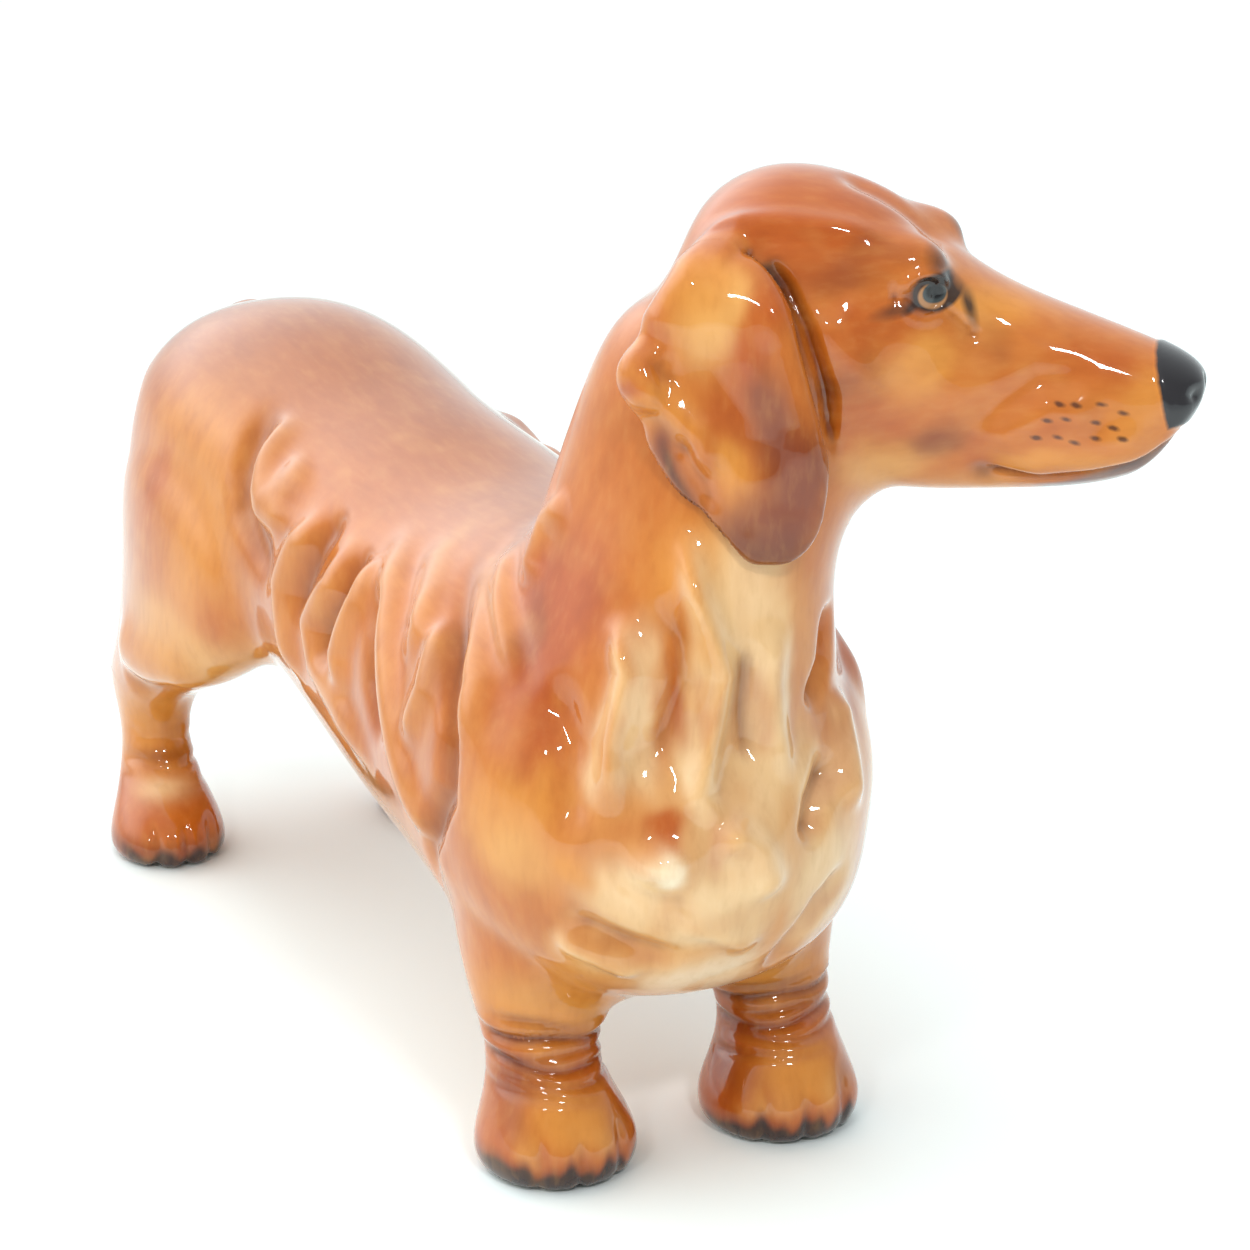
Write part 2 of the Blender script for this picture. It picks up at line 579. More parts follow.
# Airbrushed patches of the right side, repeated on the left: colour, place, reach and strength.
PATCHES = [
    (HONEY, (-36, -22, 54), (10, 10, 9), 0.6), (HONEY, (-28, -23, 45), (8, 8, 9), 0.7),
    (LIGHT_HONEY, (-37, -25, 32), (10, 8, 6), 0.65), (LIGHT_HONEY, (-28, -21, 29), 6, 0.8),
    (RUST, (-42, -24, 48), (3, 6, 5), 0.55), (RUST, (-58, -16, 46), (5, 8, 9), 0.5),
    (HONEY, (-49, -23, 17), (5, 6, 5), 0.6), (RUST, (-26, -21, 37), (3, 5, 6), 0.4),
    (RUST, (44, -13, 62), (5, 6, 5), 0.9), (RUST, (48.5, -16.5, 54), (4.5, 6, 8), 0.9),
    (RUST, (51, -12, 63), (5, 5, 9), 0.85), (CHESTNUT, (45.5, -15.5, 57.5), (2.2, 4, 5), 0.45),
    (RUST, (54.1, -17.7, 47.6), (3.5, 4, 4), 0.85), (HONEY, (52.5, -20.3, 42), (5, 6, 5), 0.85),
    (HONEY, (57, -16.4, 45.6), (3, 4, 5), 0.7), (LIGHT_HONEY, (54.6, -19.7, 37.5), (5, 6, 5), 0.7),
    (RUST, (22, -21, 38), (5, 5, 8), 0.45), (RUST, (2, -20, 44), (4, 5, 8), 0.4),
    (HONEY, (12, -21, 30), (18, 8, 6), 0.55), (CHESTNUT, (36, -20, 52), (3, 5, 6), 0.35),
]
# The same for the chest, whose two sides differ.
CHEST_PATCHES = [
    (LIGHT_HONEY, (63, 1, 44), (9, 13, 19), 0.7), (SAND, (64, 2, 40), (9, 12, 16), 0.75),
    (HONEY, (60, -4, 66), (5, 6, 6), 0.7), (LIGHT_HONEY, (62, 2, 60), (6, 7, 10), 0.75),
    (CREAM, (62.4, 2.0, 63), (5, 4, 9), 0.6), (CREAM, (60.4, -9.5, 51), (3.5, 1.6, 7), 0.7),
    (CREAM, (63, -4, 47), (4, 2.2, 5), 0.7), (CREAM, (64.5, 2, 50), (5, 3, 12), 0.6),
    (RUST, (61.5, -6, 58), (3, 1.6, 6), 0.45), (RUST, (62.6, -4.6, 54), (2, 1.3, 5), 0.6),
    (RUST, (62.4, 7.5, 54), (3, 2, 7), 0.4), (CREAM, (66.4, -3, 33), (6, 7, 5), 0.45),
    (CREAM, (62.7, -12.3, 34.3), (5, 4.5, 4), 0.85), (HONEY, (60, -15.6, 37), (2, 2.4, 2.6), 0.8),
    (LIGHT_HONEY, (62, -9, 28), (7, 9, 5), 0.8), (PALE, (62, -2, 22), (9, 9, 4.5), 0.7),
    (CREAM, (62.7, 9.5, 44.8), (4, 4, 5), 0.7), (RUST, (61.5, 13.6, 46), (3, 2.4, 6), 0.6),
    (HONEY, (61.5, 14.5, 39.3), 4, 0.7), (CREAM, (63.6, 10.0, 33), (5, 5, 6), 0.85),
    (PALE, (65.2, -9, 38.2), (3, 2.8, 1.8), 1.0), (RUST, (64, -9.3, 41.6), (3, 2.8, 1.4), 0.9),
    (RUST, (66.5, -1.4, 41), (2, 1.3, 1.6), 0.9), (CREAM, (66.8, -1.5, 36.5), (3, 3, 2), 0.6),
    (CHESTNUT, (63, -12.5, 31), (2, 3, 1.2), 0.4), (HONEY, (65.5, 3.5, 27), (3, 2, 5), 0.5),
    (LIGHT_HONEY, (40, 0, 16), (22, 12, 5), 0.6),
]
# The same for both sides of the head, in its own axes.
HEAD_PATCHES = [
    (RUST, (9, 9, 8), (8, 6, 5), 0.75), (CHESTNUT, (12, 10.4, 4), (4, 4, 2.6), 0.55),
    (RUST, (14, 10.8, -1.5), (5, 5, 3), 0.7), (CHESTNUT, (12.4, 11, -5.6), (4, 4, 2.0), 0.75),
    (RUST, (14.5, 10.4, -9), (4, 4, 2.6), 0.6), (HONEY, (18.6, 9.3, -5.2), (4, 4, 2.8), 0.85),
    (HONEY, (26.5, 5, -0.6), (5, 6, 2.6), 0.85), (LIGHT_HONEY, (23.8, 7, -2.6), (2.2, 4, 3), 0.55),
    (CHESTNUT, (25.2, 7, -4.6), (1.6, 3, 2.4), 0.5), (CHESTNUT, (19.5, 8.6, -12.4), (5, 4, 2.0), 0.8),
    (HONEY, (15.5, 10, -12.6), (3, 4, 2), 0.6), (LIGHT_HONEY, (14, 9, -15.5), (5, 5, 3), 0.7),
    (RUST, (33, 6, -7.5), (7, 4, 2), 0.5), (RUST, (36.5, 5.8, -6.4), (5, 4, 1.6), 0.55),
    (HONEY, (29.5, 7, -15), (4, 4, 1.6), 0.75), (HONEY, (39, 5, -11.5), (3, 4, 3), 0.6),
    (HONEY, (34.5, 6, -15.4), (5, 4, 1.6), 0.7), (RUST, (31.5, 6.5, -12), (3, 4, 1.4), 0.5),
    (RUST, (24.5, 7.4, -14), (1.5, 3, 3), 0.6), (CHESTNUT, (16, 7, 6.4), (4, 3, 1.6), 0.4),
]


def wavering(points):
    """The points shifted unevenly by up to 2 mm, so that no painted patch has a round edge."""
    numbers = np.random.default_rng(7)
    shift = np.zeros_like(points)
    for size in (11.0, 5.0, 2.4):
        for _ in range(4):
            direction = numbers.normal(size=3) * (1.3, 1.3, 0.7)
            wave = np.sin(points @ direction * 3.6 / size + numbers.uniform(0, 6.28))
            shift += 0.045 * size * wave[:, None] * numbers.normal(size=3)
    return points + shift


def spread_patches(colour, points, patches, mask=1.0):
    for tint, centre, reach, share in patches:
        colour = mix(colour, tint, share * mask * smoothstep(0.0, 0.85, spot(points, centre, reach)))
    return colour


def stained_creases(colour, hollow):
    """Darker where the stain has settled in the creases."""
    return mix(colour, colour * (0.40, 0.28, 0.22), 0.85 * smoothstep(0.02, 0.16, hollow))


def paint_skin(p, n, hollow):
    """Airbrushed underglaze colour of the figurine apart from its ears."""
    q = either_side(p)
    s, _, u = q.T
    x, y, z = p.T
    brushed = wavering(p)
    is_head = smoothstep(68, 76, z) * smoothstep(-14, -6, s)
    body = 1 - is_head
    colour = np.tile(TAN, (len(p), 1))

    def lay(tint, share):
        nonlocal colour
        colour = mix(colour, tint, share)

    lay(CHESTNUT, 0.4 * smoothstep(54, 64, z) * body * smoothstep(40, 20, x))
    lay(HONEY, 0.6 * smoothstep(-0.1, -0.8, n[:, 2]) * body)
    for side in (-1, 1):
        middle = np.where(x < -20, -4.0, 0.0)
        seen = brushed.copy()
        if side == 1:
            seen[:, 1] = 2 * middle - seen[:, 1]
        colour = spread_patches(colour, seen, PATCHES, seen[:, 1] < middle)
    colour = spread_patches(colour, brushed, CHEST_PATCHES)
    # the stain settles in the valleys of the folds and wears thin on their ridges
    for path, width, height in CHEST_FOLDS:
        line = along(brushed, path, 1.1 * width, 0.25, n)
        lay(CREAM if height > 0 else RUST, (0.55 if height > 0 else 0.35) * line)
    for path, width, height in FLANK_FOLDS:
        line = along(p, path, width, 0.25, n)
        lay(LIGHT_HONEY if height > 0 else CHESTNUT, (0.25 if height > 0 else 0.4) * line)
    for y0, side in FORELEGS:
        leg = smoothstep(26, 17, z) * (np.abs(y - y0) < 11) * (x > 20)
        lay(HONEY, 0.75 * leg)
        lay(LIGHT_HONEY, 0.7 * leg * spot(p, (49, y0 - 3, 22), (4, 5, 4)))
        flanks = smoothstep(0.25, 0.9, np.abs(n[:, 1])) * smoothstep(20, 12, z)
        lay(RUST, 0.85 * leg * flanks)
        for level, slope, first, last, height in WRINKLES:
            line = wrinkle(p, WRIST_X, y0, level + 0.4 * (side > 0), slope * side, first, last, 0.7)
            lay(CHESTNUT, 1.9 * abs(height) * leg * line)
        lay(RUST, 0.7 * leg * spot(p, (51, y0 + 1.5, 11.5), (3, 4, 2.5)))
        lay(HONEY, 0.8 * leg * spot(p, (53.5, y0 - 2.5, 8), (3, 3.4, 2.4)))
        for toe in TOES:
            line = np.exp(-((y - y0 - toe) / 0.7) ** 2) * smoothstep(50, 54, x) * smoothstep(6.5, 3, z)
            lay(CHESTNUT, 0.5 * leg * line)
        lay(CHESTNUT, 0.5 * leg * spot(brushed, (50, y0 - 5.5, 8), (5, 2.5, 3)))
        lay(CHESTNUT, 0.45 * leg * spot(brushed, (53, y0 + 5, 6), (4, 2.5, 3)))
        lay(RUST, 0.75 * leg * smoothstep(6.5, 3.0, z) * smoothstep(40, 48, x))
        for knuckle in ((54.5, y0 - 4.4, 5.4), (55.5, y0 + 1.8, 5.6)):
            lay(LIGHT_HONEY, 0.5 * leg * spot(brushed, knuckle, (3, 1.6, 1.6)))
        edge = z - 0.7 + 0.6 * np.sin(y * 1.3 + side) + 0.4 * np.sin(y * 3.1)
        lay(CHESTNUT, 0.85 * leg * smoothstep(3.4, 1.8, edge) * smoothstep(42, 50, x))
        lay(DARK, 0.97 * leg * smoothstep(2.4, 1.4, edge) * smoothstep(45, 49, x))
    hind = smoothstep(-30, -36, x) * smoothstep(26, 15, z)
    lay(HONEY, 0.6 * hind)
    lay(RUST, 0.75 * hind * smoothstep(12, 7, z))
    for y0, _ in HIND_LEGS:
        lay(CREAM, 0.7 * hind * spot(p, (-45.5, y0 - 1, 8.6), (3, 4, 1.3)))
        lay(CHESTNUT, 0.6 * hind * spot(p, (-48, y0, 11.5), (5, 5, 1.0)))
    edge = z - 0.8 + 0.6 * np.sin(y * 1.6)
    lay(CHESTNUT, 0.7 * hind * smoothstep(4.5, 2.2, z))
    lay(DARK, 0.95 * hind * smoothstep(2.0, 0.6, edge) * smoothstep(-47, -43, x))
    # head
    lay(RUST, 0.45 * is_head * smoothstep(2, 10, u) * smoothstep(24, 16, s))
    colour = spread_patches(colour, wavering(q), HEAD_PATCHES)
    under_jaw = smoothstep(-16, -20, u) * smoothstep(8, 14, s) * smoothstep(30, 24, s)
    lay(LIGHT_HONEY, 0.7 * is_head * under_jaw)
    colour = stained_creases(colour, hollow)
    # rims hold less of the stain
    lay(LIGHT_HONEY, 0.35 * smoothstep(-0.03, -0.14, hollow) * body * smoothstep(24, 34, z))
    line = 18.9 - 0.08 * np.clip(s - 30, 0, 20) ** 1.5
    lip = smoothstep(27, 30, s) * smoothstep(-line + 0.3, -line - 0.5, u)
    lip *= smoothstep(0.35, -0.1, nose_depth(s, u))
    lay(srgb(120, 112, 116), 0.85 * lip)
    lay(GREY, 0.95 * along(q, MOUTH, 0.7, 0.06))
    lay(DARK, 0.6 * spot(q, MOUTH[0], (1.1, 3, 1.1)))
    return mix(colour, BISCUIT, smoothstep(0.2, 0.05, z) * smoothstep(-0.5, -0.9, n[:, 2]))


EAR_PATCHES = [
    (LIGHT_HONEY, (0.4, 15.5, 2.6), (3.6, 6, 4.2), 0.95), (HONEY, (-2.5, 15, 5), (4, 6, 4), 0.7),
    (HONEY, (-3.5, 16, -6), (3, 6, 4), 0.6), (RUST, (5.0, 16, 0), (2.2, 6, 6), 0.8),
    (CHESTNUT, (6.4, 16, -7.5), (2.6, 6, 5), 0.75), (RUST, (2, 17, -8), (2.6, 6, 4), 0.6),
    (CHESTNUT, (7.2, 17, -14), (4.0, 6, 6), 0.95), (CHESTNUT, (4.5, 17, -19), (5, 6, 3.5), 0.85),
    (HONEY, (0.9, 17.4, -13.6), (1.8, 6, 3.6), 0.85), (HONEY, (-7.4, 15.8, -3.4), (3, 5, 3.6), 0.7),
    (RUST, (-6.9, 17, -3.4), (1.6, 4, 1.6), 0.95), (RUST, (-4.6, 16, -0.5), (1.6, 5, 2.4), 0.6),
]


def paint_ear(p, hollow):
    q = either_side(p)
    s, _, u = q.T
    colour = spread_patches(np.tile(TAN, (len(p), 1)), wavering(q), EAR_PATCHES)
    colour = mix(colour, DARK, 0.45 * smoothstep(-16, -23, u + 0.3 * (s - 4)))
    rim = [(-4.5, 16.5, -6.5), (-6, 16.5, -11), (-3.6, 17, -16), (-1, 17, -19)]
    colour = mix(colour, CHESTNUT, 0.9 * along(q, rim, 1.3))
    rim = [(-5.6, 16.5, -9), (-5, 16.5, -13), (-3, 17, -17), (-1, 17, -19)]
    colour = mix(colour, DARK, 0.7 * along(q, rim, 0.6))
    return stained_creases(colour, hollow)


def brush_weights(p, n, ear_share):
    """How far the brush strokes run down, along the back and along the head."""
    s = to_head(*p.T)[0]
    on_head = smoothstep(70, 80, p[:, 2]) * smoothstep(-8, 2, s) * (1 - ear_share)
    on_back = (1 - on_head) * smoothstep(0.45, 0.85, n[:, 2]) * (1 - ear_share)
    return np.stack([1 - on_head - on_back, on_back, on_head, np.ones(len(p))], 1)


def sampled(field, grid, points):
    """The field read at points, linearly."""
    place = np.clip((points - grid.low) / grid.step, 0, np.array(field.shape) - 1.001)
    low = place.astype(int)
    share = place - low
    total = np.zeros(len(points))
    for corner in range(8):
        step = np.array([corner & 1, corner >> 1 & 1, corner >> 2])
        weight = np.prod(np.where(step, share, 1 - share), axis=1)
        total += weight * field[tuple((low + step).T)]
    return total


def labels_of(count, pairs):
    """A number for each vertex, the same for all that are joined."""
    label = np.arange(count)
    while True:
        least = np.minimum(label[pairs[:, 0]], label[pairs[:, 1]])
        new = label.copy()
        np.minimum.at(new, pairs[:, 0], least)
        np.minimum.at(new, pairs[:, 1], least)
        new = new[new]
        if (new == label).all():
            return label
        label = new


def trimmed(points, quads, outside):
    """Which quads lie within the piece's own stretch, without crumbs."""
    quads = quads[outside[quads].mean(1) < OVERLAP]
    label = labels_of(len(points), edge_pairs(quads))[quads[:, 0]]
    names, counts = np.unique(label, return_counts=True)
    return quads[np.isin(label, names[counts > CRUMB])]


def closed(points, normals, quads):
    """Turns the trimmed edges inwards and closes them; the source vertex of each new one comes with them."""
    count = len(points)
    edges = np.concatenate([quads[:, [k, (k + 1) % 4]] for k in range(4)]).astype(np.int64)
    rim = edges[~np.isin(edges[:, 1] * count + edges[:, 0], edges[:, 0] * count + edges[:, 1])]
    lip = np.unique(rim)
    inner = np.full(count, -1)
    inner[lip] = count + np.arange(len(lip))
    loop = labels_of(count, rim)[lip]
    loops, which = np.unique(loop, return_inverse=True)
    turned = points[lip] - LIP * normals[lip]
    middles = np.stack([np.bincount(which, turned[:, i]) / np.bincount(which) for i in range(3)], 1)
    middle = np.full(count, -1)
    middle[lip] = count + len(lip) + which
    a, b = rim[:, 0], rim[:, 1]
    walls = np.stack([b, a, inner[a], inner[b]], 1)
    caps = np.stack([inner[b], inner[a], middle[a]], 1)
    source = np.concatenate([np.arange(count), lip, loops])
    return np.concatenate([points, turned, middles]), np.concatenate([quads, walls]), caps, source


def add_colours(mesh, name, values):
    layer = mesh.attributes.new(name, "FLOAT_COLOR", "POINT")
    layer.data.foreach_set("color", values.astype(np.float32).ravel())


def make_piece(name, step, material, stands_for):
    """One piece of the skin, in place of the casting that stands_for names first and the films beside it."""
    low, high = (np.array(corner) * 1000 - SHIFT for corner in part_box(stands_for[0]))
    grid = Grid(low - BORDER, high + BORDER, step)
    joined, main, flap = skin(grid)
    outside = past_joints(name, grid, main, flap)
    points, quads = surface(grid, np.maximum(joined, outside - MARGIN))
    pairs = edge_pairs(quads)
    points = relaxed(points, pairs, 6)
    past = sampled(outside, grid, points)
    past_ear = sampled(flap - main, grid, points)
    ear_share = smoothstep(0.5, -0.5, past_ear)
    normals = vertex_normals(points, quads)
    at_ear_back = smoothstep(1.2, 0.3, np.abs(past_ear)) * smoothstep(4, 0, to_head(*points.T)[0])
    points = points + normals * (relief(points, normals, ear_share) * (1 - at_ear_back))[:, None]
    points = relaxed(points, pairs, 1)
    points[:, 2] = np.maximum(points[:, 2], 0)
    normals = vertex_normals(points, quads)
    towards = neighbour_mean(points, pairs) - points
    hollow = np.einsum("ij,ij->i", towards, normals)[:, None] / step ** 2 * 0.5
    for _ in range(8):
        hollow = 0.5 * hollow + 0.5 * neighbour_mean(hollow, pairs)
    hollow = hollow[:, 0] * (1 - at_ear_back)
    colour = mix(paint_skin(points, normals, hollow), paint_ear(points, hollow), ear_share)
    in_front = smoothstep(0.1, 0.5, along(either_side(points), EAR_GROOVE, 4.0, 0.15))
    colour = mix(colour, CHESTNUT, 0.6 * in_front * np.exp(-(past_ear / 1.3) ** 2))
    colour = mix(colour, DARK, in_front * np.exp(-((past_ear - 0.1) / 0.7) ** 2))
    brush = brush_weights(points, normals, ear_share)

    quads = trimmed(points, quads, past)
    used, quads = np.unique(quads, return_inverse=True)
    quads = quads.reshape(-1, 4)
    points, quads, caps, source = closed(points[used], normals[used], quads)
    source = used[source]
    shading = normals[source]
    shading[len(used):] = 0
    corners = np.concatenate([quads.ravel(), caps.ravel()])
    starts = np.concatenate([np.arange(len(quads)) * 4, len(quads) * 4 + np.arange(len(caps)) * 3])
    mesh = bpy.data.meshes.new(f"{name}_casting")
    mesh.vertices.add(len(points))
    mesh.vertices.foreach_set("co", ((points + SHIFT) / 1000).astype(np.float32).ravel())
    mesh.loops.add(len(corners))
    mesh.loops.foreach_set("vertex_index", corners.astype(np.int32))
    mesh.polygons.add(len(starts))
    mesh.polygons.foreach_set("loop_start", starts.astype(np.int32))
    mesh.update(calc_edges=True)
    mesh.validate()
    mesh.polygons.foreach_set("use_smooth", np.ones(len(mesh.polygons), bool))
    add_colours(mesh, "stain", np.concatenate([colour[source], np.ones((len(points), 1))], 1))
    add_colours(mesh, "brush", brush[source])
    mesh.normals_split_custom_set_from_vertices(shading)
    mesh.materials.append(material)
    obj = bpy.data.objects.new(f"{name}_look", mesh)
    bpy.context.collection.objects.link(obj)
    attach(obj, "root")
    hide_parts(*stands_for)


# ---- materials

def node(tree, kind, **settings):
    """A new node; each setting is one of its properties or the value of an input."""
    made = tree.nodes.new("ShaderNode" + kind)
    for key, value in settings.items():
        if hasattr(made, key):
            setattr(made, key, value)
        else:
            made.inputs[key].default_value = value
    return made


def put(tree, socket, value):
    """Sets a socket to a constant, or links it."""
    if isinstance(value, (int, float, tuple)):
        socket.default_value = value
    else:
        tree.links.new(value, socket)


def maths_node(tree, operation, a, b=None):
    made = node(tree, "Math", operation=operation)
    put(tree, made.inputs[0], a)
    if b is not None:
        put(tree, made.inputs[1], b)
    return made.outputs[0]


def vector_node(tree, operation, a, b):
    made = node(tree, "VectorMath", operation=operation)
    put(tree, made.inputs[0], a)
    put(tree, made.inputs[1], b)
    return made.outputs["Value" if operation == "DOT_PRODUCT" else "Vector"]


def ranged(tree, value, low, high, to_low, to_high, smooth=False):
    """Value taken from the range low to high into another."""
    made = node(tree, "MapRange", interpolation_type="SMOOTHSTEP" if smooth else "LINEAR")
    names = ("Value", "From Min", "From Max", "To Min", "To Max")
    for name, number in zip(names, (value, low, high, to_low, to_high)):
        put(tree, made.inputs[name], number)
    return made.outputs["Result"]


def blend(tree, share, a, b, mode="MIX"):
    made = node(tree, "Mix", data_type="RGBA", blend_type=mode)
    for place, value in ((0, share), (6, a), (7, b)):
        put(tree, made.inputs[place], value)
    return made.outputs[2]


def glaze_material(name, with_face):
    mat = bpy.data.materials.new(name)
    mat.use_nodes = True
    tree = mat.node_tree
    link = tree.links.new
    shader = tree.nodes["Principled BSDF"]
    for key, number in (("Roughness", 0.32), ("Specular IOR Level", 0.05), ("Coat Weight", 1.0),
                        ("Coat Roughness", 0.03), ("Coat IOR", 1.55)):
        shader.inputs[key].default_value = number
    where = node(tree, "TexCoord").outputs["Object"]

    def noise(scale, detail, vector=where, rough=0.55):
        made = node(tree, "TexNoise", Scale=scale, Detail=detail, Roughness=rough)
        link(vector, made.inputs["Vector"])
        return made.outputs["Fac"]

    def strokes(scale, detail):
        """Noise drawn out along the brush strokes."""
        weights = node(tree, "SeparateColor")
        link(node(tree, "Attribute", attribute_name="brush").outputs["Color"], weights.inputs[0])
        turned = node(tree, "Mapping", Rotation=Matrix((FORWARD, LEFT, UP)).to_euler())
        link(where, turned.inputs["Vector"])
        total = 0.0
        for channel, vector, stretch in ((0, where, (1, 1, 0.3)), (1, where, (0.3, 1, 1)),
                                         (2, turned.outputs["Vector"], (0.3, 1, 1))):
            drawn = vector_node(tree, "MULTIPLY", vector, stretch)
            part = maths_node(tree, "MULTIPLY", noise(scale, detail, drawn, 0.5), weights.outputs[channel])
            total = maths_node(tree, "ADD", total, part)
        return total

    colour = node(tree, "Attribute", attribute_name="stain").outputs["Color"]
    brown, light = (0.60, 0.40, 0.18, 1), (*LIGHT_HONEY, 1)
    broad, fine = strokes(330, 2), strokes(1100, 3)
    for value, low, high, most, tint, mode in (
            (noise(70, 2), 0.42, 0.70, 0.22, brown, "MULTIPLY"),
            (noise(160, 2), 0.45, 0.25, 0.14, light, "MIX"),
            (broad, 0.48, 0.72, 0.22, brown, "MULTIPLY"), (broad, 0.48, 0.28, 0.08, light, "MIX"),
            (fine, 0.50, 0.75, 0.16, brown, "MULTIPLY"), (fine, 0.48, 0.28, 0.08, light, "MIX")):
        colour = blend(tree, ranged(tree, value, low, high, 0.0, most), colour, tint, mode)
    if with_face:
        colour = face(tree, where, colour, noise)
    link(colour, shader.inputs["Base Color"])
    bump = node(tree, "Bump", Strength=0.05, Distance=0.0004)
    link(noise(350, 2), bump.inputs["Height"])
    link(bump.outputs["Normal"], shader.inputs["Normal"])
    return mat


def face(tree, where, colour, noise):
    """Painted eyes, nose pad and whisker dots."""
    def maths(operation, a, b=None):
        return maths_node(tree, operation, a, b)

    offset = vector_node(tree, "SUBTRACT", where, tuple((HEAD_CENTRE + SHIFT) / 1000))

    def axis(direction):
        """Distance in mm from the head's centre."""
        return vector_node(tree, "DOT_PRODUCT", offset, tuple(direction * 1000))

    s, off, u = axis(FORWARD), axis(LEFT), axis(UP)
    side = maths("ABSOLUTE", off)
    wobble = maths("MULTIPLY", maths("SUBTRACT", noise(900, 2), 0.5), 0.8)

    def round_to(cs, cu, stretch_s, stretch_u, turn):
        """Distance in mm from a point of the side of the face, seen from the side."""
        ds, du = maths("SUBTRACT", s, cs), maths("SUBTRACT", u, cu)
        c, t = math.cos(turn), math.sin(turn)
        a = maths("MULTIPLY", maths("ADD", maths("MULTIPLY", ds, c), maths("MULTIPLY", du, t)), stretch_s)
        b = maths("SUBTRACT", maths("MULTIPLY", du, c), maths("MULTIPLY", ds, t))
        b = maths("MULTIPLY", b, stretch_u)
        return maths("SQRT", maths("ADD", maths("MULTIPLY", a, a), maths("MULTIPLY", b, b)))

    on_side = ranged(tree, side, 4.0, 5.5, 0.0, 1.0)

    def paint_on(colour, distance, inner, outer, tint, strength):
        share = maths("MULTIPLY", ranged(tree, distance, inner, outer, strength, 0.0), on_side)
        return blend(tree, share, colour, (*srgb(*tint), 1))

    # smudges round the eye, then its rim, white, iris, pupil and upper lid: place from the eye's centre,
    # stretch along and up, turn, inner and outer edge, colour and strength
    for ds, du, stretch_s, stretch_u, turn, inner, outer, tint, strength in (
            (-3.2, -0.9, 0.42, 1.3, 0.15, 0.3, 1.3, (92, 50, 28), 0.8),
            (0.9, 2.9, 1.1, 0.55, 0.5, 0.3, 1.4, (92, 50, 28), 0.8),
            (3.0, -1.2, 1.5, 0.34, 0.22, 0.3, 1.2, (38, 30, 28), 0.9),
            (-1.9, -0.9, 0.7, 1.8, 0.5, 0.3, 1.0, (38, 30, 28), 0.8),
            (0.3, 0.15, 0.78, 0.95, 0.2, 1.65, 2.0, (38, 30, 28), 0.95),
            (-0.1, -0.2, 1.0, 1.0, 0.0, 1.2, 1.4, (168, 118, 74), 1.0),
            (0.1, 0.05, 1.0, 1.0, 0.0, 0.98, 1.15, (58, 64, 64), 1.0),
            (0.15, 0.15, 1.0, 1.0, 0.0, 0.62, 0.9, (12, 10, 12), 1.0),
            (0.2, 1.3, 0.5, 1.3, -0.25, 0.5, 0.85, (26, 18, 16), 0.95)):
        distance = round_to(float(EYE[0]) + ds, float(EYE[2]) + du, stretch_s, stretch_u, turn)
        colour = paint_on(colour, distance, inner, outer, tint, strength)
    # whisker dots
    nearest = None
    for ds, du in (
            (31.5, -10.4), (33.6, -10.6), (35.2, -11.0), (37.4, -11.6), (30.8, -12.0), (32.6, -12.0),
            (34.6, -12.4), (36.6, -12.9), (29.6, -13.4), (31.4, -13.6), (33.0, -14.0), (35.0, -14.0),
            (37.2, -14.4)):
        place = ds + 0.35 * math.sin(9 * du), du + 0.25 * math.sin(7 * ds)
        distance = round_to(*place, 0.7, 1.5, -0.35)
        nearest = distance if nearest is None else maths("MINIMUM", nearest, distance)
    nearest = maths("ADD", nearest, maths("MULTIPLY", wobble, 0.6))
    colour = paint_on(colour, nearest, 0.15, 0.5, (70, 34, 18), 0.85)
    # nose pad
    behind = maths("ADD", maths("SUBTRACT", s, NOSE_START), maths("MULTIPLY", maths("ADD", u, 9.0), 0.14))
    depth = maths("MINIMUM", behind, maths("SUBTRACT", u, NOSE_FLOOR))
    depth = maths("ADD", depth, maths("MULTIPLY", wobble, 0.4))
    return blend(tree, ranged(tree, depth, -0.15, 0.25, 0.0, 1.0), colour, (*srgb(38, 35, 38), 1))


def floor_material():
    mat = bpy.data.materials.new("backdrop_paper")
    mat.use_nodes = True
    shader = mat.node_tree.nodes["Principled BSDF"]
    shader.inputs["Base Color"].default_value = (0.88, 0.94, 0.93, 1)
    shader.inputs["Roughness"].default_value = 0.8
    return mat


# ---- camera, lights, floor

def to_frame(point):
    return Vector((np.asarray(point, float) + SHIFT) / 1000)


CAMERA_PLACE = (422, -177, 208)
CAMERA_AZIMUTH, CAMERA_ELEVATION = math.radians(65.3), math.radians(20.05)
FOCAL_IN_FRAMES = 4400 / 1250

camera_data = bpy.data.cameras.new("camera")
camera = bpy.data.objects.new("camera", camera_data)
bpy.context.collection.objects.link(camera)
camera_data.sensor_width = 36.0
camera_data.lens = 36.0 * FOCAL_IN_FRAMES
camera_data.clip_start = 0.01
sine, cosine = math.sin(CAMERA_AZIMUTH), math.cos(CAMERA_AZIMUTH)
level = math.cos(CAMERA_ELEVATION)
back = Vector((sine * level, -cosine * level, math.sin(CAMERA_ELEVATION)))
right = Vector((cosine, sine, 0))
rotation = Matrix((right, back.cross(right), back)).transposed().to_4x4()
camera.matrix_world = Matrix.Translation(to_frame(CAMERA_PLACE)) @ rotation
bpy.context.scene.camera = camera


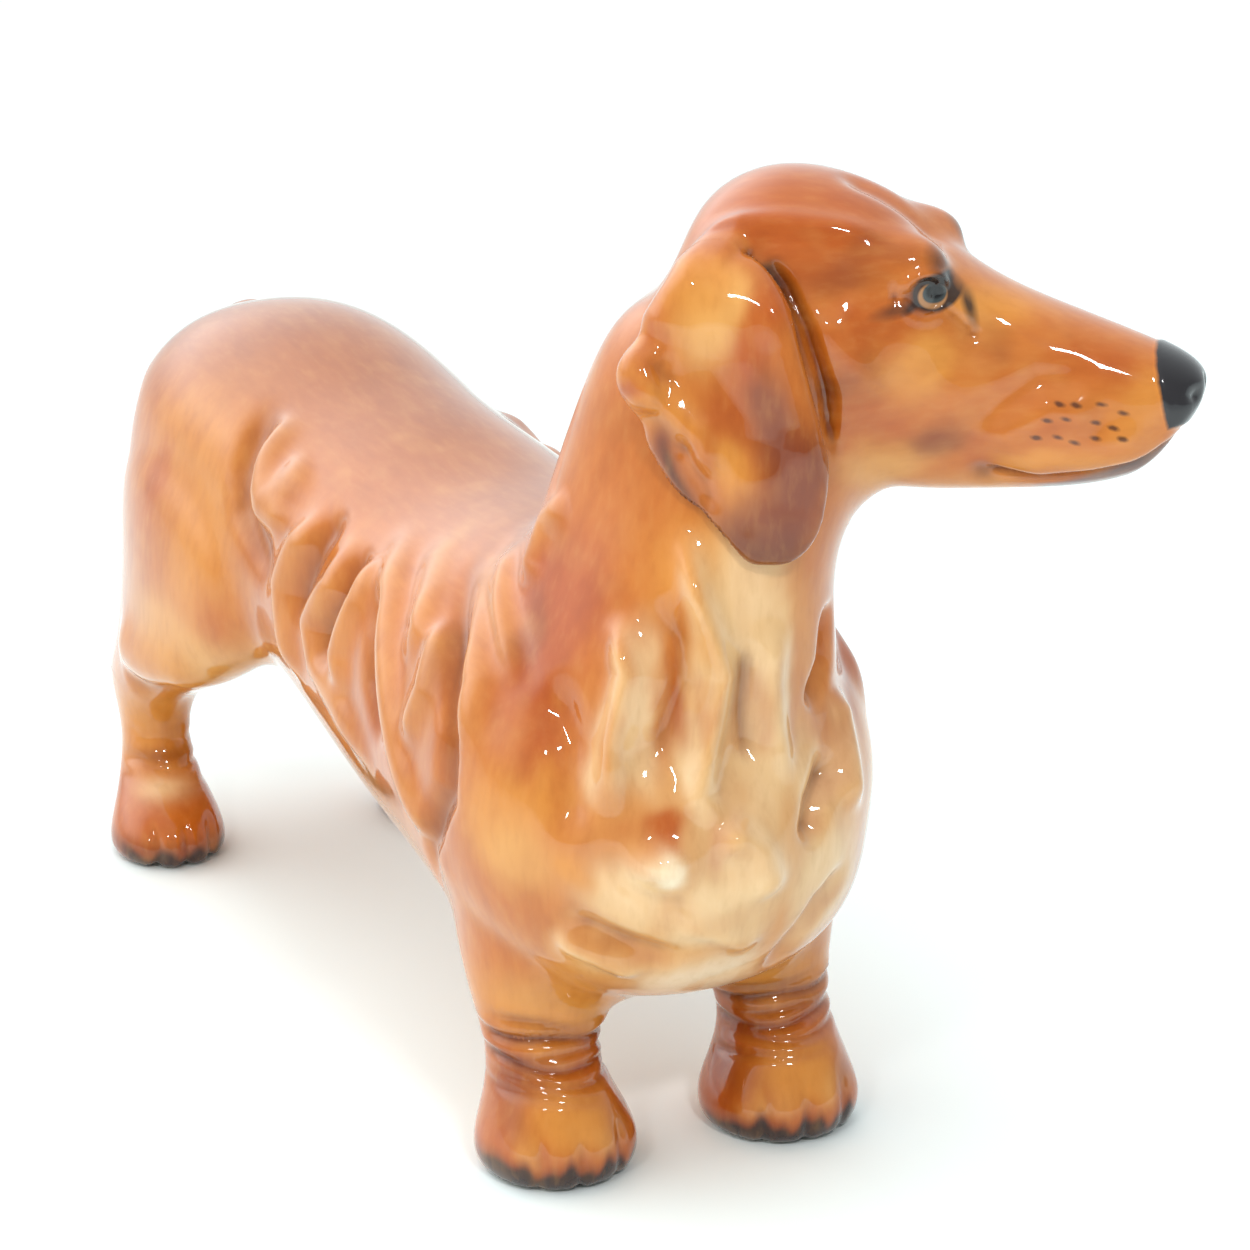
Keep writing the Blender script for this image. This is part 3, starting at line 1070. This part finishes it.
def add_area(name, place, target, size, power, colour=(1, 1, 1)):
    data = bpy.data.lights.new(name, "AREA")
    data.shape = "RECTANGLE"
    data.size, data.size_y = size
    data.energy = power
    data.color = colour
    light = bpy.data.objects.new(name, data)
    bpy.context.collection.objects.link(light)
    light.location = to_frame(place)
    light.rotation_euler = (to_frame(target) - light.location).to_track_quat("-Z", "Y").to_euler()
    # the two small lamps make the glints; the large panels only give soft light
    light.visible_glossy = size[0] < 0.2


add_area("top_softbox", (-160, 40, 560), (0, 0, 40), (0.7, 0.7), 0.7, (1.0, 0.99, 0.99))
add_area("key_softbox", (260, -430, 470), (20, 0, 50), (0.7, 0.7), 1.4, (1.0, 0.99, 0.97))
add_area("front_lamp", (430, -50, 380), (50, 0, 60), (0.07, 0.045), 0.6)
add_area("second_lamp", (330, -300, 350), (40, 0, 60), (0.05, 0.025), 0.25)

bpy.context.scene.view_settings.view_transform = "Standard"
world = bpy.data.worlds.new("studio")
bpy.context.scene.world = world
world.use_nodes = True
sky = world.node_tree
background = sky.nodes["Background"]
background.inputs["Color"].default_value = (0.90, 0.97, 0.99, 1)
direction = node(sky, "TexCoord").outputs["Generated"]


def towards(axis, low, high, to_low, to_high, smooth):
    """A number that grows from to_low to to_high as a direction turns towards the axis."""
    return ranged(sky, vector_node(sky, "DOT_PRODUCT", direction, axis), low, high, to_low, to_high, smooth)


# The backdrop behind the figurine is bright, and the room in front of it is dimmer. A bright wall stands
# behind its right side, above the floor; the flank mirrors it.
backdrop = towards((-0.93, 0.05, 0.35), -0.5, 0.6, 0.42, 1.15, False)
wall = towards((-0.78, -0.55, 0.30), 0.5, 1.0, 0.0, 1.6, True)
above_floor = towards((0, 0, 1), 0.0, 0.35, 0.0, 1.0, True)
strength = maths_node(sky, "ADD", maths_node(sky, "MULTIPLY", wall, above_floor), backdrop)
sky.links.new(strength, background.inputs["Strength"])

floor_mesh = bpy.data.meshes.new("floor")
FLOOR_REACH = 3.0
corners = [(x * FLOOR_REACH, y * FLOOR_REACH, 0) for x, y in ((-1, -1), (1, -1), (1, 1), (-1, 1))]
floor_mesh.from_pydata(corners, [], [(0, 1, 2, 3)])
floor = bpy.data.objects.new("floor", floor_mesh)
bpy.context.collection.objects.link(floor)
floor_mesh.materials.append(floor_material())

# ---- the figurine

glaze = glaze_material("clear_glaze", False)
face_glaze = glaze_material("clear_glaze_face", True)
FINEST, FINE, MEDIUM = ((0.29, 0.34, 0.46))
make_piece("body", MEDIUM, glaze, ["body_casting"])
make_piece("head", FINEST, face_glaze, ["head_casting", "neck_slip"])
for side in ("right", "left"):
    make_piece(f"ear_{side}", FINE, glaze, ears[side])
    for limb in ("foreleg", "hind_leg"):
        make_piece(f"{limb}_{side}", FINE, glaze, [f"{limb}_{side}", f"{limb}_slip_{side}"])
make_piece("tail", FINE, glaze, ["tail", "tail_slip"])
